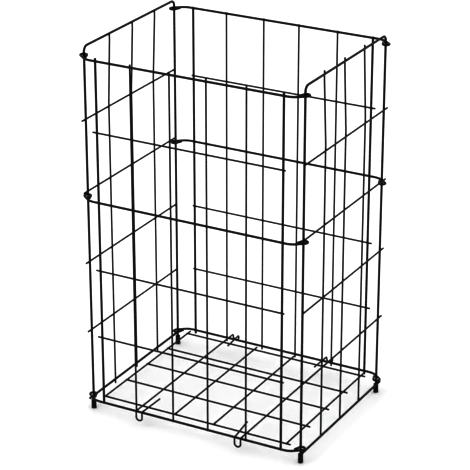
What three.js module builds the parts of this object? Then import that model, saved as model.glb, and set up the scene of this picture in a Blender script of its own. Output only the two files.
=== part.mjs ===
// Folding wire mesh container: four hinged wire panels and a hooked wire floor.
//
// Two side panels carry the corner posts. The front and back panels hang on the posts by
// eyes bent in their rail ends, so every corner is a hinge. The floor hooks over the
// bottom rails. Millimetres, +Z up, +X to the right, front panel towards -Y.
import * as THREE from 'three';

// ---- Driving dimensions ----------------------------------------------------------------
const POST_SPAN_X = 600;        // between post centres, side to side
const POST_SPAN_Y = 430;        // between post centres, front to back
const SIDE_ROW = 190;           // height of one row of the side mesh
const SIDE_ROWS = 5;
const FRAME_WIRE = 6;           // diameter of posts, rails and edge uprights
const MESH_WIRE = 4.5;          // diameter of the mesh wires
const WELD_GAP = 0.3;           // left between two wires that are welded or rest together

const FOOT_RAIL_GAP = 1;        // between the foot caps and the side bottom rails
const CORNER_RADIUS = 14;       // top corners of the side frames
const SIDE_RAIL_OVERRUN = 9;    // side wires run past the post centres by this much
const SIDE_CELLS = 4;           // columns of the side mesh
const SET_RADIUS = 60;          // the two slight bends that lead the uprights inwards
const SET_ABOVE_WIRE = 10;      // first bend above the highest side crosswire
const SET_BELOW_BAR = 10;       // second bend below the top bar

const RAIL_OFFSET = 27;         // front and back rails stand out from the posts
const MIDDLE_RAIL_ROW = 3;      // the middle rails hang just under this side crosswire
const EYE_CLEARANCE = 2;        // between post and eye at the run-in; the tail sits nearer
const EYE_OVERRUN = 2.5;        // centre of the eye's bend past the post, in line with the run-in
const EYE_GAP = 3.5;            // between an eye and the side wire that stops it sliding
const TOP_EYE_GAP = 5;          // between a top eye and the start of the frame's corner
const EYE_CLOSING = 30;         // how steeply the tail closes on the run-in, degrees
const EYE_MOUTH = 1;            // gap left between the tail's end and the run-in
const SWEEP_ANGLE = 40;         // how steeply a rail runs in to its post, degrees
const SWEEP_RADIUS = 38;

const EDGE_INSET = 44.5;        // edge uprights inside the posts
const CENTRE_CELL = 100;        // width of the middle column of front and back mesh
const SECOND_CELL = 108;        // width of the columns beside it
const STUB_TOP = 5.5;           // wire ends past the wires that they cross
const STUB_BOTTOM = 3.5;
const STUB_SIDE = 6;
const UPPER_CROSSWIRES = 1;     // between top and middle rail
const LOWER_CROSSWIRES = 2;     // between middle and bottom rail

const FLOOR_EDGE_INSET = 4;     // outer cross wires of the floor inside the post plane
const FLOOR_OVERRUN = 8;        // floor wires past the wire that they cross last
const FLOOR_CROSSWIRES = 5;
const EDGE_PASS_GAP = 1.25;     // floor edge wire beside the edge upright it passes
const INNER_PASS_GAP = 1.5;     // inner floor wire beside the upright it passes
const HOOK_PASS_GAP = 2.75;     // hook leg beside the upright it passes
const HOOK_SPAN = 17;           // between the two legs of a hook
const HOOK_BEND = 5;            // bend radius over the rail
// Room between rail and shank, straight part of the shank, how far the left and right return
// legs lean away at their ends, and how far those ends reach inside the rail.
const FRONT_HOOK = { clearance: 2.75, shank: 11.8, lean: [2, 10], reach: 77 };
const BACK_HOOK = { clearance: 11.75, shank: 1, lean: [4, 1], reach: 53 };
const SPLAY_BEND = 20;          // bend radius where a return leg leans away

const FOOT_DIAMETER = 13;
const FOOT_HEIGHT = 25;
const FOOT_BASE = 3;            // thickness under the end of the post
const FOOT_CHAMFER = 1;
const FOOT_SIDES = 20;

const FRAME_SIDES = 10;         // facets round a wire
const MESH_SIDES = 8;
const ARC_STEP = 20;            // largest turn per facet along a bend, degrees

// ---- Positions that follow -------------------------------------------------------------
const FRAME_R = FRAME_WIRE / 2;
const MESH_R = MESH_WIRE / 2;
const POST_X = POST_SPAN_X / 2;
const POST_Y = POST_SPAN_Y / 2;
const TWO_FRAMES = FRAME_WIRE + WELD_GAP;                 // centre distances of touching wires
const FRAME_TO_MESH = FRAME_R + MESH_R + WELD_GAP;
const TWO_MESHES = MESH_WIRE + WELD_GAP;

const SIDE_RAIL_Z = FOOT_HEIGHT + FOOT_RAIL_GAP + FRAME_R;
const SIDE_TOP_Z = SIDE_RAIL_Z + SIDE_ROW * SIDE_ROWS;
const EYE_RADIUS = FRAME_WIRE + EYE_CLEARANCE;
const RAIL_PLANE = POST_Y + RAIL_OFFSET;
const BOTTOM_RAIL_Z = SIDE_RAIL_Z + FRAME_WIRE + EYE_GAP;
const MIDDLE_RAIL_Z = SIDE_RAIL_Z + MIDDLE_RAIL_ROW * SIDE_ROW - FRAME_R - MESH_R - EYE_GAP;
const TOP_RAIL_Z = SIDE_TOP_Z - CORNER_RADIUS - FRAME_R - TOP_EYE_GAP;

const EDGE_UPRIGHT_X = POST_X - EDGE_INSET;
const OUTER_UPRIGHT_X = CENTRE_CELL / 2 + SECOND_CELL;
const INNER_UPRIGHT_X = CENTRE_CELL / 2;

const FLOOR_Z = BOTTOM_RAIL_Z + FRAME_TO_MESH;            // long wires lie on the bottom rails
const FLOOR_CROSS_Z = FLOOR_Z - TWO_MESHES;
const FLOOR_EDGE_Y = POST_Y - FLOOR_EDGE_INSET;
const FLOOR_EDGE_X = EDGE_UPRIGHT_X + FRAME_R + MESH_R + EDGE_PASS_GAP;
const FLOOR_INNER_X = INNER_UPRIGHT_X + MESH_WIRE + INNER_PASS_GAP;
const FLOOR_HOOK_X = OUTER_UPRIGHT_X - MESH_WIRE - HOOK_PASS_GAP;
const hookReach = (hook) => FRAME_R + MESH_R + hook.clearance;
const CENTRE_Y = (hookReach(BACK_HOOK) - hookReach(FRONT_HOOK)) / 2;

const AXIS_X = new THREE.Vector3(1, 0, 0);
const AXIS_Y = new THREE.Vector3(0, 1, 0);
const AXIS_Z = new THREE.Vector3(0, 0, 1);
const radians = THREE.MathUtils.degToRad;

// ---- Wire as it leaves a bending machine: straight, bend, straight ... ------------------
class BentWire extends THREE.Curve {
  constructor(start, heading) {
    super();
    this.points = [start.clone()];
    this.headings = [heading.clone().normalize()];
  }

  straight(length) {
    const heading = this.headings.at(-1);
    this.points.push(this.points.at(-1).clone().addScaledVector(heading, length));
    this.headings.push(heading.clone());
    return this;
  }

  bend(radius, degrees, axis) {
    const from = this.points.at(-1);
    const heading = this.headings.at(-1);
    const toCentre = axis.clone().cross(heading).multiplyScalar(radius * Math.sign(degrees));
    const centre = from.clone().add(toCentre);
    const count = Math.max(1, Math.ceil(Math.abs(degrees) / ARC_STEP));
    for (let k = 1; k <= count; k += 1) {
      const turn = radians(degrees) * k / count;
      const arm = from.clone().sub(centre).applyAxisAngle(axis, turn);
      this.points.push(arm.add(centre));
      this.headings.push(heading.clone().applyAxisAngle(axis, turn));
    }
    return this;
  }

  // The same wire with a mirror image of itself, across the plane x = 0, joined in front.
  withMirrorImage() {
    const whole = new BentWire(this.points[0], this.headings[0]);
    const image = this.points.slice(1).reverse().map((p) => new THREE.Vector3(-p.x, p.y, p.z));
    const turned = this.headings.slice(1).reverse().map((h) => new THREE.Vector3(h.x, -h.y, -h.z));
    whole.points = [...image, ...this.points.slice(1)];
    whole.headings = [...turned, ...this.headings.slice(1)];
    return whole;
  }

  get steps() {
    return this.points.length - 1;
  }

  getPointAt(u) {
    return this.points[Math.round(u * this.steps)].clone();
  }

  getTangentAt(u) {
    return this.headings[Math.round(u * this.steps)].clone();
  }
}

function roundSection(diameter, sides) {
  const section = new THREE.Shape();
  for (let k = 0; k < sides; k += 1) {
    const angle = 2 * Math.PI * k / sides;
    const x = Math.cos(angle) * diameter / 2;
    const y = Math.sin(angle) * diameter / 2;
    if (k === 0) section.moveTo(x, y);
    else section.lineTo(x, y);
  }
  section.closePath();
  return section;
}

const blackCoat = () => new THREE.MeshStandardMaterial({ color: 0x0d0d0e, roughness: 0.45, metalness: 0.1 });
const blackRubber = () => new THREE.MeshStandardMaterial({ color: 0x121212, roughness: 0.8, metalness: 0 });

function addWire(panel, name, line, diameter) {
  const sides = diameter === FRAME_WIRE ? FRAME_SIDES : MESH_SIDES;
  const geometry = new THREE.ExtrudeGeometry(roundSection(diameter, sides), {
    steps: line.steps,
    extrudePath: line,
    bevelEnabled: false,
  });
  const mesh = new THREE.Mesh(geometry, blackCoat());
  mesh.name = name;
  panel.add(mesh);
}

function addStraight(panel, name, from, to, diameter) {
  const span = to.clone().sub(from);
  const line = new BentWire(from, span).straight(span.length());
  addWire(panel, name, line, diameter);
}

const at = (x, y, z) => new THREE.Vector3(x, y, z);

// ---- Side panel: frame wire with both posts, bottom rail, mesh and feet ----------------
function sideFrame(x) {
  const postEnd = FOOT_BASE + WELD_GAP;
  const rise = SIDE_TOP_Z - CORNER_RADIUS - postEnd;
  return new BentWire(at(x, -POST_Y, postEnd), AXIS_Z)
    .straight(rise)
    .bend(CORNER_RADIUS, -90, AXIS_X)
    .straight(POST_SPAN_Y - 2 * CORNER_RADIUS)
    .bend(CORNER_RADIUS, -90, AXIS_X)
    .straight(rise);
}

// An upright stands behind the outer side wires. Between the highest of them and the top bar
// it leans inwards, so that it passes the bar on its inner side.
function sideUpright(side, y) {
  const lowX = POST_X + TWO_FRAMES - FRAME_TO_MESH;
  const highX = POST_X - FRAME_TO_MESH;
  const foot = SIDE_RAIL_Z - FRAME_R - STUB_BOTTOM;
  const setFoot = SIDE_TOP_Z - SIDE_ROW + MESH_R + SET_ABOVE_WIRE;
  const setTop = SIDE_TOP_Z - FRAME_R - SET_BELOW_BAR;
  const bends = 2 * SET_RADIUS;
  const shift = lowX - highX;
  const slope = Math.sqrt((setTop - setFoot) ** 2 + shift ** 2 - 2 * bends * shift);
  const lean = Math.atan2(slope, -bends) - Math.atan2(setTop - setFoot, shift - bends);
  const degrees = lean * THREE.MathUtils.RAD2DEG;
  return new BentWire(at(side * lowX, y, foot), AXIS_Z)
    .straight(setFoot - foot)
    .bend(SET_RADIUS, -side * degrees, AXIS_Y)
    .straight(slope)
    .bend(SET_RADIUS, side * degrees, AXIS_Y)
    .straight(SIDE_TOP_Z + STUB_TOP - setTop);
}

function addFoot(panel, name, x, y) {
  const outer = FOOT_DIAMETER / 2;
  const bore = FRAME_R + WELD_GAP;
  const lip = FOOT_CHAMFER / 2;
  const profile = [
    [0, 0],
    [outer - FOOT_CHAMFER, 0],
    [outer, FOOT_CHAMFER],
    [outer, FOOT_HEIGHT - lip],
    [outer - lip, FOOT_HEIGHT],
    [bore, FOOT_HEIGHT],
    [bore, FOOT_BASE],
    [0, FOOT_BASE],
  ].map(([r, z]) => new THREE.Vector2(r, z));
  const mesh = new THREE.Mesh(new THREE.LatheGeometry(profile, FOOT_SIDES), blackRubber());
  mesh.name = name;
  mesh.rotation.x = Math.PI / 2;
  mesh.position.set(x, y, 0);
  panel.add(mesh);
}

function sidePanel(label, side) {
  const panel = new THREE.Group();
  const postX = side * POST_X;
  const railX = side * (POST_X + TWO_FRAMES);
  const wireX = side * (POST_X + FRAME_TO_MESH);
  const reach = POST_Y + SIDE_RAIL_OVERRUN;
  addWire(panel, `${label}_side_frame`, sideFrame(postX), FRAME_WIRE);
  addStraight(panel, `${label}_side_bottom_rail`,
    at(railX, -reach, SIDE_RAIL_Z), at(railX, reach, SIDE_RAIL_Z), FRAME_WIRE);
  for (let row = 1; row < SIDE_ROWS; row += 1) {
    const z = SIDE_RAIL_Z + row * SIDE_ROW;
    addStraight(panel, `${label}_side_crosswire_${row}`,
      at(wireX, -reach, z), at(wireX, reach, z), MESH_WIRE);
  }
  for (let column = 1; column < SIDE_CELLS; column += 1) {
    const y = POST_SPAN_Y * column / SIDE_CELLS - POST_Y;
    addWire(panel, `${label}_side_upright_${column}`, sideUpright(side, y), MESH_WIRE);
  }
  addFoot(panel, `${label}_front_foot`, postX, -POST_Y);
  addFoot(panel, `${label}_rear_foot`, postX, POST_Y);
  return panel;
}

// ---- Front or back panel: three rails with eyes, uprights and cross wires --------------
// A rail runs straight, sweeps in to the post, goes round its outer side as a long eye and
// ends in a tail that closes on the run-in, so that the post can't slip out. The post may move
// a little along the eye, and less across it. The right half of the rail is bent here, starting
// at its middle.
function rail(facing, z) {
  const sine = Math.sin(radians(SWEEP_ANGLE));
  const cosine = Math.cos(radians(SWEEP_ANGLE));
  const sweepDepth = SWEEP_RADIUS * (1 - cosine);
  const runIn = (RAIL_OFFSET - EYE_RADIUS * cosine - sweepDepth) / sine;
  const straightEnd = POST_X + EYE_RADIUS * sine - runIn * cosine - SWEEP_RADIUS * sine;
  const closing = radians(EYE_CLOSING);
  const tailDrop = (EYE_RADIUS - FRAME_R) * (1 + Math.cos(closing)) - EYE_MOUTH;
  const turn = -facing;
  return new BentWire(at(0, facing * RAIL_PLANE, z), AXIS_X)
    .straight(straightEnd)
    .bend(SWEEP_RADIUS, turn * SWEEP_ANGLE, AXIS_Z)
    .straight(runIn + EYE_OVERRUN)
    .bend(EYE_RADIUS, turn * (180 + EYE_CLOSING), AXIS_Z)
    .straight(tailDrop / Math.sin(closing))
    .withMirrorImage();
}

function crosswireHeights() {
  const spread = (low, high, count) =>
    Array.from({ length: count }, (_, k) => low + (high - low) * (k + 1) / (count + 1));
  return [
    ...spread(BOTTOM_RAIL_Z, MIDDLE_RAIL_Z, LOWER_CROSSWIRES),
    ...spread(MIDDLE_RAIL_Z, TOP_RAIL_Z, UPPER_CROSSWIRES),
  ];
}

function facePanel(label, facing) {
  const panel = new THREE.Group();
  const edgeY = facing * (RAIL_PLANE - TWO_FRAMES);
  const meshY = facing * (RAIL_PLANE - FRAME_TO_MESH);
  const crossY = meshY + facing * TWO_MESHES;
  const low = BOTTOM_RAIL_Z - FRAME_R - STUB_BOTTOM;
  const high = TOP_RAIL_Z + STUB_TOP;
  addWire(panel, `${label}_bottom_rail`, rail(facing, BOTTOM_RAIL_Z), FRAME_WIRE);
  addWire(panel, `${label}_middle_rail`, rail(facing, MIDDLE_RAIL_Z), FRAME_WIRE);
  addWire(panel, `${label}_top_rail`, rail(facing, TOP_RAIL_Z), FRAME_WIRE);
  for (const [end, side] of [['left', -1], ['right', 1]]) {
    const x = side * EDGE_UPRIGHT_X;
    addStraight(panel, `${label}_${end}_edge_upright`, at(x, edgeY, low), at(x, edgeY, high), FRAME_WIRE);
  }
  [-OUTER_UPRIGHT_X, -INNER_UPRIGHT_X, INNER_UPRIGHT_X, OUTER_UPRIGHT_X].forEach((x, k) => {
    addStraight(panel, `${label}_upright_${k + 1}`, at(x, meshY, low), at(x, meshY, high), MESH_WIRE);
  });
  const reach = EDGE_UPRIGHT_X + FRAME_R + STUB_SIDE;
  crosswireHeights().forEach((z, k) => {
    addStraight(panel, `${label}_crosswire_${k + 1}`, at(-reach, crossY, z), at(reach, crossY, z), MESH_WIRE);
  });
  return panel;
}

// ---- Floor: wires front to back lie on cross wires, two of them end in hooks -----------
// A hook passes over its rail, drops, turns back on itself and returns as a short leg.
// side is -1 or 1 for the left or right hook wire, and the return leg is nearer the middle.
function hookEnd(side, facing, hook, offset) {
  const outside = hookReach(hook);
  const lean = Math.atan2(offset, hook.reach) * THREE.MathUtils.RAD2DEG;
  const leanLength = SPLAY_BEND * Math.sin(radians(lean));
  return new BentWire(at(side * FLOOR_HOOK_X, 0, FLOOR_Z), at(0, facing, 0))
    .straight(RAIL_PLANE + outside - HOOK_BEND)
    .bend(HOOK_BEND, -facing * 90, AXIS_X)
    .straight(hook.shank)
    .bend(HOOK_SPAN / 2, side * 180, AXIS_Y)
    .straight(hook.shank)
    .bend(HOOK_BEND, facing * 90, AXIS_X)
    .bend(SPLAY_BEND, -side * facing * lean, AXIS_Z)
    .straight(hook.reach + outside - HOOK_BEND - leanLength);
}

function joinEnds(front, back) {
  const whole = new BentWire(front.points[0], front.headings[0]);
  const reversed = front.headings.slice(1).reverse().map((h) => h.clone().negate());
  whole.points = [...front.points.slice(1).reverse(), ...back.points.slice(1)];
  whole.headings = [...reversed, ...back.headings.slice(1)];
  return whole;
}

function floorPanel() {
  const panel = new THREE.Group();
  const halfLength = FLOOR_EDGE_Y + FLOOR_OVERRUN;
  const plain = [
    ['floor_left_edge_wire', -FLOOR_EDGE_X],
    ['floor_left_inner_wire', -FLOOR_INNER_X],
    ['floor_right_inner_wire', FLOOR_INNER_X],
    ['floor_right_edge_wire', FLOOR_EDGE_X],
  ];
  for (const [name, x] of plain) {
    addStraight(panel, name, at(x, -halfLength, FLOOR_Z), at(x, halfLength, FLOOR_Z), MESH_WIRE);
  }
  [['left', -1], ['right', 1]].forEach(([end, side], k) => {
    const line = joinEnds(
      hookEnd(side, -1, FRONT_HOOK, FRONT_HOOK.lean[k]),
      hookEnd(side, 1, BACK_HOOK, BACK_HOOK.lean[k]),
    );
    addWire(panel, `floor_${end}_hook_wire`, line, MESH_WIRE);
  });
  const halfWidth = FLOOR_EDGE_X + FLOOR_OVERRUN;
  for (let k = 0; k < FLOOR_CROSSWIRES; k += 1) {
    const y = FLOOR_EDGE_Y * (2 * k / (FLOOR_CROSSWIRES - 1) - 1);
    addStraight(panel, `floor_crosswire_${k + 1}`,
      at(-halfWidth, y, FLOOR_CROSS_Z), at(halfWidth, y, FLOOR_CROSS_Z), MESH_WIRE);
  }
  return panel;
}

// The front hooks are shorter than the back ones, so the bin is moved to centre its depth.
const container = new THREE.Group();
container.add(sidePanel('left', -1));
container.add(sidePanel('right', 1));
container.add(facePanel('front', -1));
container.add(facePanel('back', 1));
container.add(floorPanel());
container.position.y = -CENTRE_Y;

export default container;
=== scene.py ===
import bpy
import numpy as np
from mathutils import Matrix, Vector


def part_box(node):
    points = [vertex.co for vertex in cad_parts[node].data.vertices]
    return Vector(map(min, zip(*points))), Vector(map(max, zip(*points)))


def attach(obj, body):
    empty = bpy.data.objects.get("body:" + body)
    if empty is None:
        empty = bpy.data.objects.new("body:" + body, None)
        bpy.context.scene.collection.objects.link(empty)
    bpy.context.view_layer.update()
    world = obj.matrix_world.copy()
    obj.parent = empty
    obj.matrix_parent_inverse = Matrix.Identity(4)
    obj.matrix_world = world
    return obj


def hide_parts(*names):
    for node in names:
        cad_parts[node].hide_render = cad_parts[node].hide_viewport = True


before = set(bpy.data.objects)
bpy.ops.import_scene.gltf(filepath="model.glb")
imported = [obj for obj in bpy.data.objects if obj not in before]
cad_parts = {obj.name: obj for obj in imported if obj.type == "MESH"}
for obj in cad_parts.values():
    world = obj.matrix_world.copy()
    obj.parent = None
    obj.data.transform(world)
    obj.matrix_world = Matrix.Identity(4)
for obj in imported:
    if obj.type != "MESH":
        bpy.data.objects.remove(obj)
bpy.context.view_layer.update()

# ==== Side frames =========================================================================
# Each side panel hangs on one 6 mm round steel wire that is both posts and the top bar. It is
# cut to length, bent twice over a 14 mm radius and powder coated black with the whole panel.
# The coat wears through only where the rail eyes of the front and back panels rub the posts.
THICK_WIRE = 0.006
FRAME_CORNER = 0.014
POST_FOOT_Z = 0.0033
STATION_STEP = 0.02
BEND_STEP = 6.0
WIRE_SIDES = 24
END_ROUNDING = 0.16
END_RINGS = 5

X_AXIS = np.array([1.0, 0.0, 0.0])
Y_AXIS = np.array([0.0, 1.0, 0.0])
Z_AXIS = np.array([0.0, 0.0, 1.0])


def middle(node):
    """The centre of a CAD node's box: half the sum of its lowest and highest corners."""
    low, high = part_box(node)
    return (np.array(low) + np.array(high)) / 2


def turning(axis, angles):
    """Rotations about a unit axis: the identity, plus the sine of the angle times the axis's
    cross-product matrix, plus one minus the cosine times that matrix squared."""
    x, y, z = axis
    cross = np.array([[0, -z, y], [z, 0, -x], [-y, x, 0]])
    sine, cosine = np.sin(angles)[:, None, None], np.cos(angles)[:, None, None]
    return np.eye(3) + sine * cross + (1 - cosine) * (cross @ cross)


def bent_wire(start, heading, moves):
    """The middle line of a wire, as a bending machine makes it.

    A move is (length,) for a straight, or (radius, degrees, axis) for a bend, which turns the
    wire about an axis one radius to its inner side, in equal small steps. The result is the
    stations along the wire, and at each one three directions, two across it and one along it,
    which turn with every bend and so never twist.
    """
    along = np.array(heading, float)
    across = np.cross(along, Z_AXIS if abs(along[2]) < 0.9 else X_AXIS)
    across /= np.linalg.norm(across)
    frame_here = np.column_stack([across, np.cross(along, across), along])
    stations, frames = [np.array([start], float)], [frame_here[None]]
    for move in moves:
        here, frame_here = stations[-1][-1], frames[-1][-1]
        if len(move) == 1:
            count = max(1, int(np.ceil(move[0] / STATION_STEP)))
            share = np.arange(1, count + 1)[:, None] / count
            stations.append(here + share * move[0] * frame_here[:, 2])
            frames.append(np.repeat(frame_here[None], count, axis=0))
        else:
            radius, degrees, axis = move
            count = max(1, int(np.ceil(abs(degrees) / BEND_STEP)))
            turn = turning(axis, np.radians(degrees) * np.arange(1, count + 1) / count)
            centre = here + np.cross(axis, frame_here[:, 2]) * radius * np.sign(degrees)
            stations.append(centre + turn @ (here - centre))
            frames.append(turn @ frame_here)
    return np.concatenate(stations), np.concatenate(frames)


def grid_faces(rings, sides):
    """Faces of a closed tube of rings of points, with one more point at each end as its pole:
    four-sided between rings, and a fan of triangles round each pole. Pole points come last."""
    ring = np.arange(rings - 1)[:, None] * sides
    here, after = np.arange(sides), (np.arange(sides) + 1) % sides
    quads = np.stack([ring + here, ring + after, ring + sides + after, ring + sides + here], -1)
    last = (rings - 1) * sides
    first_pole = np.full(sides, rings * sides)
    start_fan = np.stack([first_pole, after, here], -1)
    end_fan = np.stack([first_pole + 1, last + here, last + after], -1)
    return quads.reshape(-1, 4).tolist() + start_fan.tolist() + end_fan.tolist()


def round_wire(stations, frames, diameter, sides=WIRE_SIDES):
    """Skin of a round wire. Each ring is its station plus the radius times the cosine of the
    angle along one cross direction and the sine along the other. At a cropped end the radius
    grows from the end face over a quarter circle, and the coat rounds the edge."""
    rounding = diameter * END_ROUNDING
    edge = np.radians(np.linspace(0, 90, END_RINGS))
    inset = rounding * (1 - np.cos(edge))
    narrow = diameter / 2 - rounding * (1 - np.sin(edge))
    first, last = frames[0, :, 2], frames[-1, :, 2]
    centres = np.concatenate([
        stations[0] + inset[:, None] * first,
        stations[1:-1],
        stations[-1] - inset[::-1, None] * last,
    ])
    turned = np.concatenate([
        np.repeat(frames[:1], len(edge), axis=0),
        frames[1:-1],
        np.repeat(frames[-1:], len(edge), axis=0),
    ])
    radius = np.concatenate([narrow, np.full(len(stations) - 2, diameter / 2), narrow[::-1]])
    angle = np.linspace(0, 2 * np.pi, sides, endpoint=False)
    around = (
        np.cos(angle)[None, :, None] * turned[:, None, :, 0]
        + np.sin(angle)[None, :, None] * turned[:, None, :, 1]
    )
    rings = centres[:, None] + radius[:, None, None] * around
    points = np.concatenate([rings.reshape(-1, 3), stations[:1], stations[-1:]])
    return points, grid_faces(len(centres), sides)


def make_piece(name, body, material, points, faces, rubbed=None, stands_for=()):
    """One finished piece: its points and faces as a smooth-shaded mesh in the row frame, the
    worn share of its coat as a point attribute, its material, and the body that it rides on."""
    mesh = bpy.data.meshes.new(name)
    mesh.from_pydata(points.tolist(), [], faces)
    mesh.polygons.foreach_set("use_smooth", np.ones(len(mesh.polygons), bool))
    worn = mesh.attributes.new("rubbed", "FLOAT", "POINT")
    worn.data.foreach_set("value", np.zeros(len(points)) if rubbed is None else rubbed)
    mesh.materials.append(material)
    mesh.update()
    piece = bpy.data.objects.new(name, mesh)
    bpy.context.scene.collection.objects.link(piece)
    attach(piece, body)
    if stands_for:
        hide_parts(*stands_for)


def soft_step(value):
    """0 below 0 and 1 above 1, with a smooth rise between: three times the square, less twice
    the cube."""
    value = np.clip(value, 0, 1)
    return value * value * (3 - 2 * value)


def put(tree, kind, **values):
    """Adds a shader node to a tree. A value for a socket sets it, and any other value sets the
    node's own property. Spaces in socket names are written as underscores."""
    node = tree.nodes.new(kind)
    sockets = {s.name.replace(" ", "_"): s for s in reversed(node.inputs) if s.enabled}
    for key, value in values.items():
        if hasattr(node, key):
            setattr(node, key, value)
            sockets = {s.name.replace(" ", "_"): s for s in reversed(node.inputs) if s.enabled}
    for key, value in values.items():
        if not hasattr(node, key):
            if isinstance(value, bpy.types.NodeSocket):
                tree.links.new(value, sockets[key])
            else:
                sockets[key].default_value = value
    return node


def math_of(tree, operation, first, second=None, clamp=False):
    """One Math node: the operation on one or two sockets or numbers."""
    node = tree.nodes.new("ShaderNodeMath")
    node.operation, node.use_clamp = operation, clamp
    for socket, value in zip(node.inputs, (first, second)):
        if isinstance(value, bpy.types.NodeSocket):
            tree.links.new(value, socket)
        elif value is not None:
            socket.default_value = value
    return node.outputs[0]


def mixed(tree, share, first, second):
    """A Mix node for colours: the first where the share is 0, and the second where it is 1."""
    node = tree.nodes.new("ShaderNodeMix")
    node.data_type = "RGBA"
    wanted = ((node.inputs[0], share), (node.inputs[6], first), (node.inputs[7], second))
    for socket, value in wanted:
        if isinstance(value, bpy.types.NodeSocket):
            tree.links.new(value, socket)
        else:
            socket.default_value = value
    return node.outputs[2]


def spread(tree, value, low, high, to_low=0.0, to_high=1.0):
    """A Map Range node, clamped: low becomes to_low and high becomes to_high."""
    node = put(tree, "ShaderNodeMapRange", From_Min=low, From_Max=high,
               To_Min=to_low, To_Max=to_high)
    tree.links.new(value, node.inputs[0])
    return node.outputs[0]


def coat_group():
    """The look of powder coat on wire, as a node group. The coat's tone drifts slowly along the
    panel, its gloss breaks up in patches, a fine peel and slow runs make its height, dust lies
    on what faces up, and bare steel shows where the rubbed attribute beats a patchy noise."""
    tree = bpy.data.node_groups.new("powder coat on wire", "ShaderNodeTree")
    sockets = tree.interface
    sockets.new_socket("Coat Colour", in_out="INPUT", socket_type="NodeSocketColor")
    sockets.new_socket("Dust", in_out="INPUT", socket_type="NodeSocketFloat")
    sockets.new_socket("Gloss Loss", in_out="INPUT", socket_type="NodeSocketFloat")
    sockets.new_socket("Colour", in_out="OUTPUT", socket_type="NodeSocketColor")
    sockets.new_socket("Roughness", in_out="OUTPUT", socket_type="NodeSocketFloat")
    sockets.new_socket("Bare Steel", in_out="OUTPUT", socket_type="NodeSocketFloat")
    sockets.new_socket("Height", in_out="OUTPUT", socket_type="NodeSocketFloat")
    given = tree.nodes.new("NodeGroupInput").outputs
    made = tree.nodes.new("NodeGroupOutput").inputs
    where = tree.nodes.new("ShaderNodeTexCoord").outputs["Object"]

    def noise(scale, detail, roughness=0.5):
        return put(tree, "ShaderNodeTexNoise", Vector=where, Scale=scale, Detail=detail,
                   Roughness=roughness).outputs[0]

    peel = noise(1500.0, 2.0)
    runs = noise(230.0, 1.0)
    drift = noise(11.0, 2.0)
    patches = noise(60.0, 4.0, 0.6)
    scuffs = noise(420.0, 3.0, 0.7)

    worn = put(tree, "ShaderNodeAttribute", attribute_name="rubbed").outputs["Fac"]
    breakup = math_of(tree, "ADD", math_of(tree, "MULTIPLY", scuffs, 0.7),
                      math_of(tree, "MULTIPLY", patches, 0.5))
    bare = spread(tree, math_of(tree, "SUBTRACT", worn, breakup), 0.0, 0.12)
    thinned = spread(tree, math_of(tree, "SUBTRACT", worn, breakup), -0.35, 0.1)

    facing = put(tree, "ShaderNodeSeparateXYZ")
    tree.links.new(tree.nodes.new("ShaderNodeNewGeometry").outputs["Normal"], facing.inputs[0])
    upward = spread(tree, facing.outputs[2], 0.35, 1.0)
    settled = math_of(tree, "MULTIPLY", upward, spread(tree, patches, 0.42, 0.72))
    dust = math_of(tree, "MULTIPLY", settled, given["Dust"])

    tone = spread(tree, drift, 0.3, 0.7, 0.75, 1.3)
    coat = tree.nodes.new("ShaderNodeVectorMath")
    coat.operation = "SCALE"
    tree.links.new(given["Coat Colour"], coat.inputs[0])
    tree.links.new(tone, coat.inputs["Scale"])
    polished = mixed(tree, math_of(tree, "MULTIPLY", thinned, 0.35), coat.outputs[0],
                     (0.06, 0.06, 0.063, 1))
    dusty = mixed(tree, dust, polished, (0.2, 0.19, 0.175, 1))
    steel = mixed(tree, scuffs, (0.26, 0.25, 0.24, 1), (0.44, 0.44, 0.45, 1))
    tree.links.new(mixed(tree, bare, dusty, steel), made["Colour"])

    satin = spread(tree, patches, 0.3, 0.75, 0.36, 0.52)
    satin = math_of(tree, "ADD", satin, given["Gloss Loss"])
    satin = math_of(tree, "ADD", satin, math_of(tree, "MULTIPLY", dust, 0.8))
    satin = math_of(tree, "SUBTRACT", satin, math_of(tree, "MULTIPLY", thinned, 0.1), clamp=True)
    tree.links.new(satin, made["Roughness"])
    tree.links.new(bare, made["Bare Steel"])

    height = math_of(tree, "ADD", math_of(tree, "MULTIPLY", peel, 0.35), runs)
    height = math_of(tree, "SUBTRACT", height, math_of(tree, "MULTIPLY", bare, 0.9))
    tree.links.new(height, made["Height"])
    return tree


POWDER_COAT = coat_group()


def coated_steel(name, colour, dust, gloss_loss, relief):
    """A powder-coated steel material: the coat group feeds colour, roughness, bare metal and,
    through a Bump node, the normal."""
    material = bpy.data.materials.new(name)
    material.use_nodes = True
    tree = material.node_tree
    shader = tree.nodes["Principled BSDF"]
    shader.inputs["IOR"].default_value = 1.5
    shader.inputs["Specular IOR Level"].default_value = 0.35
    coat = tree.nodes.new("ShaderNodeGroup")
    coat.node_tree = POWDER_COAT
    coat.inputs["Coat Colour"].default_value = (*colour, 1)
    coat.inputs["Dust"].default_value = dust
    coat.inputs["Gloss Loss"].default_value = gloss_loss
    bump = put(tree, "ShaderNodeBump", Strength=0.35, Distance=relief,
               Height=coat.outputs["Height"])
    tree.links.new(coat.outputs["Colour"], shader.inputs["Base Color"])
    tree.links.new(coat.outputs["Roughness"], shader.inputs["Roughness"])
    tree.links.new(coat.outputs["Bare Steel"], shader.inputs["Metallic"])
    tree.links.new(bump.outputs[0], shader.inputs["Normal"])
    return material


FRAME_COAT = coated_steel("black_coat_on_frame_wire", (0.005, 0.005, 0.0055), 0.04, 0.0, 0.00022)

POST_WEAR = 0.8
POST_WEAR_REACH = 0.008
RAIL_HEIGHTS = [middle(f"front_{rail}_rail")[2] for rail in ("bottom", "middle", "top")]
POSTS = {
    (side, end): middle(f"{side}_{end}_foot")[:2]
    for side in ("left", "right") for end in ("front", "rear")
}


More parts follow.
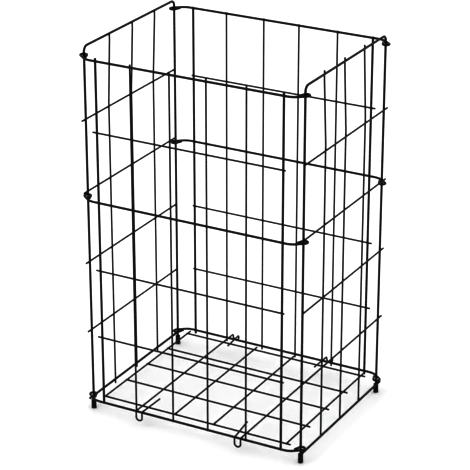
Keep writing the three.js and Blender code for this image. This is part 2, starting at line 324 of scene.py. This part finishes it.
def rubbed_by_eyes(points):
    """Wear of a post under the rail eyes: greatest at a rail's height, and none further off."""
    away = np.min([np.abs(points[:, 2] - height) for height in RAIL_HEIGHTS], axis=0)
    return POST_WEAR * soft_step(1 - away / POST_WEAR_REACH)


for side in ("left", "right"):
    node = f"{side}_side_frame"
    front, rear = POSTS[side, "front"], POSTS[side, "rear"]
    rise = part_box(node)[1].z - THICK_WIRE / 2 - FRAME_CORNER - POST_FOOT_Z
    line = bent_wire((*front, POST_FOOT_Z), Z_AXIS, [
        (rise,),
        (FRAME_CORNER, -90, X_AXIS),
        (rear[1] - front[1] - 2 * FRAME_CORNER,),
        (FRAME_CORNER, -90, X_AXIS),
        (rise,),
    ])
    points, faces = round_wire(*line, THICK_WIRE)
    make_piece(f"{side}_side_post_and_top_bar", f"{side}_side", FRAME_COAT,
               points, faces, rubbed_by_eyes(points), [node])

# ==== Side bottom rails and side cross wires ==============================================
# A straight 6 mm rail across the foot of each side panel and four 4.5 mm wires above it, all
# spot welded to the outer side of the posts and cropped a little beyond them.
THIN_WIRE = 0.0045
THIN_SIDES = 20

MESH_COAT = coated_steel("black_coat_on_mesh_wire", (0.0055, 0.0055, 0.006), 0.05, 0.03, 0.00018)


def straight_wire(name, node, body, direction, diameter):
    """A straight round wire from one end of a CAD node's box to the other, along its middle."""
    low, high = (np.array(corner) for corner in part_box(node))
    length = (high - low) @ direction
    start = middle(node) - direction * length / 2
    thick = diameter == THICK_WIRE
    points, faces = round_wire(*bent_wire(start, direction, [(length,)]), diameter,
                               WIRE_SIDES if thick else THIN_SIDES)
    make_piece(name, body,
               FRAME_COAT if thick else MESH_COAT, points, faces, None, [node])


for side in ("left", "right"):
    straight_wire(f"{side}_side_bottom_wire", f"{side}_side_bottom_rail", f"{side}_side",
                  Y_AXIS, THICK_WIRE)
    for row in (1, 2, 3, 4):
        straight_wire(f"{side}_side_cross_wire_{row}", f"{side}_side_crosswire_{row}",
                      f"{side}_side", Y_AXIS, THIN_WIRE)

# ==== Side uprights =======================================================================
# Three 4.5 mm wires stand on the inner side of the cross wires of each side panel. Over the
# highest of them each is sprung inwards by two slight bends, and is welded inside the top bar.
SET_RADIUS = 0.06
SET_ABOVE_WIRE = 0.010
SET_BELOW_BAR = 0.010
WELD_GAP = 0.0003


def leaning_moves(low_z, high_z, wire_z, bar_z, shift, outward):
    """The moves of a wire that shifts sideways between two heights by two equal and opposite
    bends. The straight between them is the root of height squared, plus shift squared, less
    four radii times the shift; the lean is the angle that closes that triangle."""
    foot, top = wire_z + THIN_WIRE / 2 + SET_ABOVE_WIRE, bar_z - THICK_WIRE / 2 - SET_BELOW_BAR
    height, bends = top - foot, 2 * SET_RADIUS
    slope = np.sqrt(height ** 2 + shift ** 2 - 2 * bends * shift)
    lean = np.degrees(np.arctan2(slope, -bends) - np.arctan2(height, shift - bends))
    return [
        (foot - low_z,),
        (SET_RADIUS, -outward * lean, Y_AXIS),
        (slope,),
        (SET_RADIUS, outward * lean, Y_AXIS),
        (high_z - top,),
    ]


for side, outward in (("left", -1), ("right", 1)):
    bar_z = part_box(f"{side}_side_frame")[1].z - THICK_WIRE / 2
    wire_z = middle(f"{side}_side_crosswire_4")[2]
    shift = THICK_WIRE + WELD_GAP
    inner_x = POSTS[side, "front"][0] - outward * ((THICK_WIRE + THIN_WIRE) / 2 + WELD_GAP)
    for column in (1, 2, 3):
        node = f"{side}_side_upright_{column}"
        low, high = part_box(node)
        line = bent_wire((inner_x + outward * shift, middle(node)[1], low.z), Z_AXIS,
                         leaning_moves(low.z, high.z, wire_z, bar_z, shift, outward))
        points, faces = round_wire(*line, THIN_WIRE, THIN_SIDES)
        make_piece(f"{side}_side_sprung_wire_{column}", f"{side}_side", MESH_COAT,
                   points, faces, None, [node])

# ==== Foot caps ===========================================================================
# A moulded black rubber cap is pushed over the lower end of each post and carries the bin. It
# has a rounded tread edge, a plain wall that narrows slightly upwards and a beaded lip.
CAP_RADIUS = 0.0065
CAP_SIDES = 48
TREAD_EDGE = 0.0012
BEAD = 0.0009
LIP_EDGE = 0.0006
BORE_CLEARANCE = 0.00005

RUBBER = bpy.data.materials.new("black_cap_rubber")


def rubber_look(material):
    """Moulded rubber: a dull near-black with paler scuffs and grey floor dust near the tread,
    a fine spark-eroded grain from the mould, and faint rings round the wall."""
    material.use_nodes = True
    tree = material.node_tree
    shader = tree.nodes["Principled BSDF"]
    shader.inputs["IOR"].default_value = 1.5
    shader.inputs["Specular IOR Level"].default_value = 0.3
    where = tree.nodes.new("ShaderNodeTexCoord").outputs["Object"]
    high = put(tree, "ShaderNodeSeparateXYZ", Vector=where).outputs[2]
    grain = put(tree, "ShaderNodeTexNoise", Vector=where, Scale=2600.0, Detail=3.0).outputs[0]
    blotch = put(tree, "ShaderNodeTexNoise", Vector=where, Scale=330.0, Detail=4.0).outputs[0]
    near_floor = spread(tree, high, 0.0005, 0.006, 1.0, 0.0)
    scuffed = math_of(tree, "MULTIPLY", near_floor, spread(tree, blotch, 0.42, 0.62))
    body = mixed(tree, blotch, (0.009, 0.009, 0.009, 1), (0.019, 0.019, 0.0195, 1))
    colour = mixed(tree, math_of(tree, "MULTIPLY", scuffed, 0.6), body, (0.085, 0.082, 0.078, 1))
    tree.links.new(colour, shader.inputs["Base Color"])
    tree.links.new(spread(tree, blotch, 0.3, 0.7, 0.62, 0.86), shader.inputs["Roughness"])
    rings = math_of(tree, "SINE", math_of(tree, "MULTIPLY", high, 2 * np.pi / 0.0011))
    height = math_of(tree, "ADD", grain, math_of(tree, "MULTIPLY", rings, 0.12))
    bump = put(tree, "ShaderNodeBump", Strength=0.4, Distance=0.00012, Height=height)
    tree.links.new(bump.outputs[0], shader.inputs["Normal"])


rubber_look(RUBBER)


def turned_skin(outline, x, y, sides):
    """A closed turned form about the upright line through x, y. The outline gives radius and
    height from the pole under the floor of the cap to the pole inside it."""
    outline = np.array(outline)
    angle = np.linspace(0, 2 * np.pi, sides, endpoint=False)
    rings = np.stack([
        x + outline[1:-1, 0, None] * np.cos(angle),
        y + outline[1:-1, 0, None] * np.sin(angle),
        np.repeat(outline[1:-1, 1, None], sides, axis=1),
    ], -1)
    poles = [[x, y, outline[0, 1]], [x, y, outline[-1, 1]]]
    return np.concatenate([rings.reshape(-1, 3), poles]), grid_faces(len(outline) - 2, sides)


def round_edge(centre_r, centre_z, radius, from_degrees, to_degrees, count=6):
    """Points on a circular edge of an outline: centre plus radius times cosine and sine."""
    a = np.radians(np.linspace(from_degrees, to_degrees, count))
    return np.stack([centre_r + radius * np.cos(a), centre_z + radius * np.sin(a)], -1).tolist()


for (side, end), (x, y) in POSTS.items():
    node = f"{side}_{end}_foot"
    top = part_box(node)[1].z
    bore = THICK_WIRE / 2 + BORE_CLEARANCE
    outline = (
        [[0, 0.00025], [0.0022, 0.00025], [0.0026, 0.0]]
        + round_edge(CAP_RADIUS - TREAD_EDGE, TREAD_EDGE, TREAD_EDGE, -90, 0)
        + [[CAP_RADIUS - 0.0001, 0.008], [CAP_RADIUS - 0.0004, top - 0.0036]]
        + round_edge(CAP_RADIUS - BEAD, top - 0.002, BEAD, -50, 80, 9)
        + round_edge(bore + LIP_EDGE, top - LIP_EDGE, LIP_EDGE, 90, 180, 5)
        + [[bore, 0.012], [bore, 0.0034], [bore - 0.0004, 0.003], [0, 0.003]]
    )
    points, faces = turned_skin(outline, x, y, CAP_SIDES)
    make_piece(f"{side}_{end}_foot_cap", f"{side}_side", RUBBER, points, faces,
               None, [node])

# ==== Front and back rails ================================================================
# Three 6 mm rails carry each of the front and back panels. A rail runs straight, sweeps in to
# each post, goes round its outer side as a loose eye and ends in a tail that closes on the
# run-in. The eyes turn and slide on the posts, so that their inner sides are worn to the steel.
EYE_RADIUS = 0.008
EYE_OVERRUN = 0.0025
EYE_CLOSING = 30.0
EYE_MOUTH = 0.001
SWEEP_DEGREES = 40.0
SWEEP_RADIUS = 0.038
EYE_WEAR_EDGE = 0.008
EYE_WEAR_DEPTH = 0.0032


def rail_line(node, facing):
    """The middle line of a rail. Its right half is bent first, from the middle outwards: the
    run-in after the sweep is as long as the rail's distance from the posts asks. The left half
    is its mirror image, run the other way."""
    angle = np.radians(SWEEP_DEGREES)
    post = POSTS["right", "front" if facing < 0 else "rear"]
    low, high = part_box(node)
    plane = (low if facing < 0 else high).y - facing * THICK_WIRE / 2
    depth = abs(plane - post[1]) - EYE_RADIUS * np.cos(angle) - SWEEP_RADIUS * (1 - np.cos(angle))
    run_in = depth / np.sin(angle)
    reach = post[0] + EYE_RADIUS * np.sin(angle) - run_in * np.cos(angle)
    closing = np.radians(EYE_CLOSING)
    tail_drop = (EYE_RADIUS - THICK_WIRE / 2) * (1 + np.cos(closing)) - EYE_MOUTH
    stations, frames = bent_wire((0, plane, middle(node)[2]), X_AXIS, [
        (reach - SWEEP_RADIUS * np.sin(angle),),
        (SWEEP_RADIUS, -facing * SWEEP_DEGREES, Z_AXIS),
        (run_in + EYE_OVERRUN,),
        (EYE_RADIUS, -facing * (180 + EYE_CLOSING), Z_AXIS),
        (tail_drop / np.sin(closing),),
    ])
    mirror, run_back = np.array([-1, 1, 1]), np.array([1, 1, -1])
    other_half = stations[:0:-1] * mirror
    other_frames = frames[:0:-1] * mirror[:, None] * run_back
    return np.concatenate([other_half, stations]), np.concatenate([other_frames, frames])


def rubbed_inside_eye(points):
    """Wear of a rail's eyes: nearly 1 on the inner side of the eye, 5 mm from the post's axis,
    down to 0 on the eye's own middle line, 8 mm from it."""
    away = np.min([np.hypot(*(points[:, :2] - post).T) for post in POSTS.values()], axis=0)
    return soft_step((EYE_WEAR_EDGE - away) / EYE_WEAR_DEPTH)


for label, facing in (("front", -1), ("back", 1)):
    for rail in ("bottom", "middle", "top"):
        node = f"{label}_{rail}_rail"
        points, faces = round_wire(*rail_line(node, facing), THICK_WIRE)
        make_piece(f"{label}_{rail}_rail_wire", f"{label}_panel", FRAME_COAT,
                   points, faces, rubbed_inside_eye(points), [node])

# ==== Uprights and cross wires of the front and back panels ===============================
# Two 6 mm edge uprights and four 4.5 mm mesh uprights are welded to the inner side of the
# rails, and three 4.5 mm cross wires to the outer side of the mesh uprights.
for label in ("front", "back"):
    body = f"{label}_panel"
    for end in ("left", "right"):
        straight_wire(f"{label}_{end}_edge_wire", f"{label}_{end}_edge_upright", body,
                      Z_AXIS, THICK_WIRE)
    for column in (1, 2, 3, 4):
        straight_wire(f"{label}_mesh_upright_{column}", f"{label}_upright_{column}", body,
                      Z_AXIS, THIN_WIRE)
    for row in (1, 2, 3):
        straight_wire(f"{label}_cross_wire_{row}", f"{label}_crosswire_{row}", body,
                      X_AXIS, THIN_WIRE)

# ==== Floor ===============================================================================
# The floor is a mat of 4.5 mm wires: four plain ones from front to back and two that end in
# hooks, on five cross wires. A hook passes over the bottom rail, drops, turns back through
# half a circle and returns inside the bin as a short free leg that leans a little sideways.
HOOK_WEAR = 0.9
HOOK_WEAR_REACH = 0.006
HOOK_WEAR_DEPTH = 0.002
HOOK_SPAN = 0.017
HOOK_BEND = 0.005
LEAN_BEND = 0.02
HOOKS = {
    "front": {"shank": 0.0118, "lean": {"left": 0.002, "right": 0.010}, "reach": 0.077},
    "back": {"shank": 0.0010, "lean": {"left": 0.004, "right": 0.001}, "reach": 0.053},
}

for end in ("left", "right"):
    straight_wire(f"floor_{end}_edge_bar", f"floor_{end}_edge_wire", "floor", Y_AXIS, THIN_WIRE)
    straight_wire(f"floor_{end}_inner_bar", f"floor_{end}_inner_wire", "floor", Y_AXIS, THIN_WIRE)
for row in (1, 2, 3, 4, 5):
    straight_wire(f"floor_cross_bar_{row}", f"floor_crosswire_{row}", "floor", X_AXIS, THIN_WIRE)


def hook_line(node, side, facing, middle_y):
    """One end of a hook wire, from the middle of the floor outwards: over the rail, down,
    half a turn towards the middle of the bin, up, over again and back, then a slight bend that
    moves the leg's end sideways by the lean."""
    label = "front" if facing < 0 else "back"
    inward = 1 if side == "left" else -1
    hook = HOOKS[label]
    low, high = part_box(node)
    outer_x = (low.x if side == "left" else high.x) + inward * THIN_WIRE / 2
    turn_y = (low if facing < 0 else high).y - facing * THIN_WIRE / 2
    rail_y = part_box(f"{label}_bottom_rail")[0 if facing < 0 else 1].y - facing * THICK_WIRE / 2
    outside = abs(turn_y - rail_y)
    lean = np.arctan2(hook["lean"][side], hook["reach"])
    z = middle("floor_left_edge_wire")[2]
    return bent_wire((outer_x, middle_y, z), facing * Y_AXIS, [
        (abs(turn_y - middle_y) - HOOK_BEND,),
        (HOOK_BEND, -facing * 90, X_AXIS),
        (hook["shank"],),
        (HOOK_SPAN / 2, -inward * 180, Y_AXIS),
        (hook["shank"],),
        (HOOK_BEND, facing * 90, X_AXIS),
        (LEAN_BEND, inward * facing * np.degrees(lean), Z_AXIS),
        (hook["reach"] + outside - HOOK_BEND - LEAN_BEND * np.sin(lean),),
    ])


def rubbed_on_rail(points):
    """Wear of a hook wire where it hangs on a bottom rail: greatest on the rail's line, none
    further off, and only on the lower side of the wire."""
    z = middle("floor_left_edge_wire")[2]
    away = np.min([
        np.abs(points[:, 1] - middle(f"{label}_left_edge_upright")[1] - offset)
        for label, offset in (("front", -THICK_WIRE - WELD_GAP), ("back", THICK_WIRE + WELD_GAP))
    ], axis=0)
    under = soft_step((z - points[:, 2]) / HOOK_WEAR_DEPTH)
    return HOOK_WEAR * soft_step(1 - away / HOOK_WEAR_REACH) * under


for side in ("left", "right"):
    node = f"floor_{side}_hook_wire"
    middle_y = middle("floor_left_edge_wire")[1]
    front_half = hook_line(node, side, -1, middle_y)
    back_half = hook_line(node, side, 1, middle_y)
    flip = np.array([1, -1, -1])
    stations = np.concatenate([front_half[0][:0:-1], back_half[0]])
    reversed_frames = front_half[1][:0:-1] * flip
    joint_turn = back_half[1][0].T @ (front_half[1][0] * flip)
    frames = np.concatenate([reversed_frames @ joint_turn.T, back_half[1]])
    points, faces = round_wire(stations, frames, THIN_WIRE, THIN_SIDES)
    make_piece(f"floor_{side}_hook_bar", "floor", MESH_COAT, points, faces,
               rubbed_on_rail(points), [node])

# ==== Welds ===============================================================================
# Every crossing inside a panel is one resistance weld. The wires are pressed together, a little
# steel squeezes out round the contact, and the powder coat gathers in the corner as a fillet.
NUGGET_SIDES = 12
NUGGET_RINGS = 4
NUGGET_FLATNESS = 0.5
LOBE_SHIFT = 1.7


def nugget(centre, across, flat, thickness, seed):
    """A flattened bead round one contact point: circles about the line between the two wires,
    whose radius follows a half circle from pole to pole, with four slight lobes."""
    tilt = np.radians(np.linspace(0, 180, NUGGET_RINGS + 2)[1:-1])
    angle = np.linspace(0, 2 * np.pi, NUGGET_SIDES, endpoint=False)
    lobes = 1 + 0.10 * np.cos(4 * angle + np.pi) + 0.05 * np.sin(2 * angle + seed)
    first = np.cross(across, Z_AXIS if abs(across[2]) < 0.9 else X_AXIS)
    first /= np.linalg.norm(first)
    second = np.cross(across, first)
    ring = np.cos(angle)[:, None] * first + np.sin(angle)[:, None] * second
    rings = (centre + flat * np.sin(tilt)[:, None, None] * (lobes[:, None] * ring)
             - thickness * np.cos(tilt)[:, None, None] * across)
    poles = [centre - thickness * across, centre + thickness * across]
    points = np.concatenate([rings.reshape(-1, 3), poles])
    return points, grid_faces(NUGGET_RINGS, NUGGET_SIDES)


def weld_panel(name, body, crossings):
    """All welds of one panel as one piece. A crossing gives the point where two wires pass each
    other, the direction from the first wire to the second, and the radius of its bead."""
    all_points, all_faces, count = [], [], 0
    for k, (centre, across, flat) in enumerate(crossings):
        points, faces = nugget(np.array(centre, float), np.array(across, float), flat,
                               flat * NUGGET_FLATNESS, LOBE_SHIFT * k)
        all_points.append(points)
        all_faces += [[v + count for v in face] for face in faces]
        count += len(points)
    make_piece(name, body, MESH_COAT, np.concatenate(all_points), all_faces)


THIN_NUGGET, THICK_NUGGET = 0.0021, 0.0025
for side, outward in (("left", -1), ("right", 1)):
    crossings = []
    post_x = POSTS[side, "front"][0]
    skin_x = post_x + outward * (THICK_WIRE / 2 + WELD_GAP / 2)
    rows = [middle(f"{side}_side_crosswire_{row}")[2] for row in (1, 2, 3, 4)]
    rail_z = middle(f"{side}_side_bottom_rail")[2]
    for end in ("front", "rear"):
        crossings.append(((skin_x, POSTS[side, end][1], rail_z), X_AXIS, THICK_NUGGET))
        crossings += [((skin_x, POSTS[side, end][1], z), X_AXIS, THIN_NUGGET) for z in rows]
    bar_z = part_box(f"{side}_side_frame")[1].z - THICK_WIRE / 2
    for column in (1, 2, 3):
        y = middle(f"{side}_side_upright_{column}")[1]
        crossings += [((skin_x, y, z), X_AXIS, THIN_NUGGET) for z in rows + [rail_z]]
        inside_x = post_x - outward * (THICK_WIRE / 2 + WELD_GAP / 2)
        crossings.append(((inside_x, y, bar_z), X_AXIS, THIN_NUGGET))
    weld_panel(f"{side}_side_welds", f"{side}_side", crossings)

for label, facing in (("front", -1), ("back", 1)):
    crossings = []
    rail_y = middle(f"{label}_left_edge_upright")[1] + facing * (THICK_WIRE + WELD_GAP) / 2
    mesh_y = middle(f"{label}_upright_1")[1] + facing * (THIN_WIRE + WELD_GAP) / 2
    edges = [middle(f"{label}_{end}_edge_upright")[0] for end in ("left", "right")]
    columns = [middle(f"{label}_upright_{column}")[0] for column in (1, 2, 3, 4)]
    rows = [middle(f"{label}_crosswire_{row}")[2] for row in (1, 2, 3)]
    for z in RAIL_HEIGHTS:
        crossings += [((x, rail_y, z), Y_AXIS, THICK_NUGGET) for x in edges]
        crossings += [((x, rail_y, z), Y_AXIS, THIN_NUGGET) for x in columns]
    for z in rows:
        crossings += [((x, mesh_y, z), Y_AXIS, THIN_NUGGET) for x in columns + edges]
    weld_panel(f"{label}_panel_welds", f"{label}_panel", crossings)

long_wires = [
    middle(f"floor_{end}_{kind}_wire")[0] for end in ("left", "right") for kind in ("edge", "inner")
] + [
    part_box("floor_left_hook_wire")[0].x + THIN_WIRE / 2,
    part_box("floor_right_hook_wire")[1].x - THIN_WIRE / 2,
]
floor_z = middle("floor_left_edge_wire")[2] - (THIN_WIRE + WELD_GAP) / 2
weld_panel("floor_welds", "floor", [
    ((x, middle(f"floor_crosswire_{row}")[1], floor_z), Z_AXIS, THIN_NUGGET)
    for x in long_wires for row in (1, 2, 3, 4, 5)
])

# ==== Studio ==============================================================================
# The bin stands on a plain pale sweep in an evenly lit white room, with one large soft light
# over the camera's left shoulder. The camera is a long lens, a little above the bin.
FLOOR_RADIUS = 12.0
FLOOR_RINGS = 16
FLOOR_SIDES = 64
FLOOR_Z = -0.0002


def studio_floor():
    """A flat disc: rings of points at growing radii about the middle, all a hair under the
    caps."""
    radii = FLOOR_RADIUS * np.linspace(0.02, 1, FLOOR_RINGS) ** 2
    angle = np.linspace(0, 2 * np.pi, FLOOR_SIDES, endpoint=False)
    rings = np.stack([
        radii[:, None] * np.cos(angle), radii[:, None] * np.sin(angle),
        np.full((FLOOR_RINGS, FLOOR_SIDES), FLOOR_Z),
    ], -1)
    points = np.concatenate([rings.reshape(-1, 3), [[0, 0, FLOOR_Z]]])
    here = np.arange(FLOOR_SIDES)
    after = (here + 1) % FLOOR_SIDES
    ring = np.arange(FLOOR_RINGS - 1)[:, None] * FLOOR_SIDES
    wider = ring + FLOOR_SIDES
    quads = np.stack([ring + here, wider + here, wider + after, ring + after], -1)
    fan = np.stack([np.full(FLOOR_SIDES, len(points) - 1), here, after], -1)
    mesh = bpy.data.meshes.new("studio_floor")
    mesh.from_pydata(points.tolist(), [], quads.reshape(-1, 4).tolist() + fan.tolist())
    material = bpy.data.materials.new("pale_studio_floor")
    material.use_nodes = True
    tree = material.node_tree
    shader = tree.nodes["Principled BSDF"]
    shader.inputs["Specular IOR Level"].default_value = 0.1
    where = tree.nodes.new("ShaderNodeTexCoord").outputs["Object"]
    cloud = put(tree, "ShaderNodeTexNoise", Vector=where, Scale=1.5, Detail=3.0).outputs[0]
    tree.links.new(mixed(tree, cloud, (0.935, 0.935, 0.935, 1), (0.95, 0.95, 0.95, 1)),
                   shader.inputs["Base Color"])
    tree.links.new(spread(tree, cloud, 0.3, 0.7, 0.75, 0.9), shader.inputs["Roughness"])
    mesh.materials.append(material)
    floor = bpy.data.objects.new("studio_floor", mesh)
    bpy.context.scene.collection.objects.link(floor)


studio_floor()

world = bpy.data.worlds.new("white_room")
world.use_nodes = True
world.node_tree.nodes["Background"].inputs["Color"].default_value = (1, 1, 1, 1)
world.node_tree.nodes["Background"].inputs["Strength"].default_value = 1.0
bpy.context.scene.world = world

lamp = bpy.data.lights.new("soft_box", "AREA")
lamp.shape, lamp.size, lamp.energy = "DISK", 3.0, 30.0
soft_box = bpy.data.objects.new("soft_box", lamp)
soft_box.location = (-2.2, -3.6, 4.2)
towards_bin = Vector((0, 0, 0.4)) - soft_box.location
soft_box.rotation_euler = towards_bin.to_track_quat("-Z", "Y").to_euler()
bpy.context.scene.collection.objects.link(soft_box)

CAMERA_AZIMUTH, CAMERA_ELEVATION = np.radians(28.88), np.radians(23.22)
CAMERA_DISTANCE = 5.482
AIM = np.array([-0.0052, 0.0, 0.4635])
lens = bpy.data.cameras.new("long_lens")
lens.lens, lens.sensor_width = 166.5, 36.0
lens.clip_start, lens.clip_end = 0.1, 100.0
camera = bpy.data.objects.new("camera", lens)
back = np.array([
    np.sin(CAMERA_AZIMUTH) * np.cos(CAMERA_ELEVATION),
    -np.cos(CAMERA_AZIMUTH) * np.cos(CAMERA_ELEVATION),
    np.sin(CAMERA_ELEVATION),
])
camera.location = AIM + back * CAMERA_DISTANCE
camera.rotation_euler = Vector(-back).to_track_quat("-Z", "Y").to_euler()
bpy.context.scene.collection.objects.link(camera)
bpy.context.scene.camera = camera

# The tones are given here. The low gamma makes thin dark wires on white look fuller than a plain
# view does, and darkens the coat so far that its grain barely shows.
print_look = bpy.context.scene.view_settings
print_look.view_transform = "Standard"
print_look.exposure = 0.27
print_look.gamma = 0.5
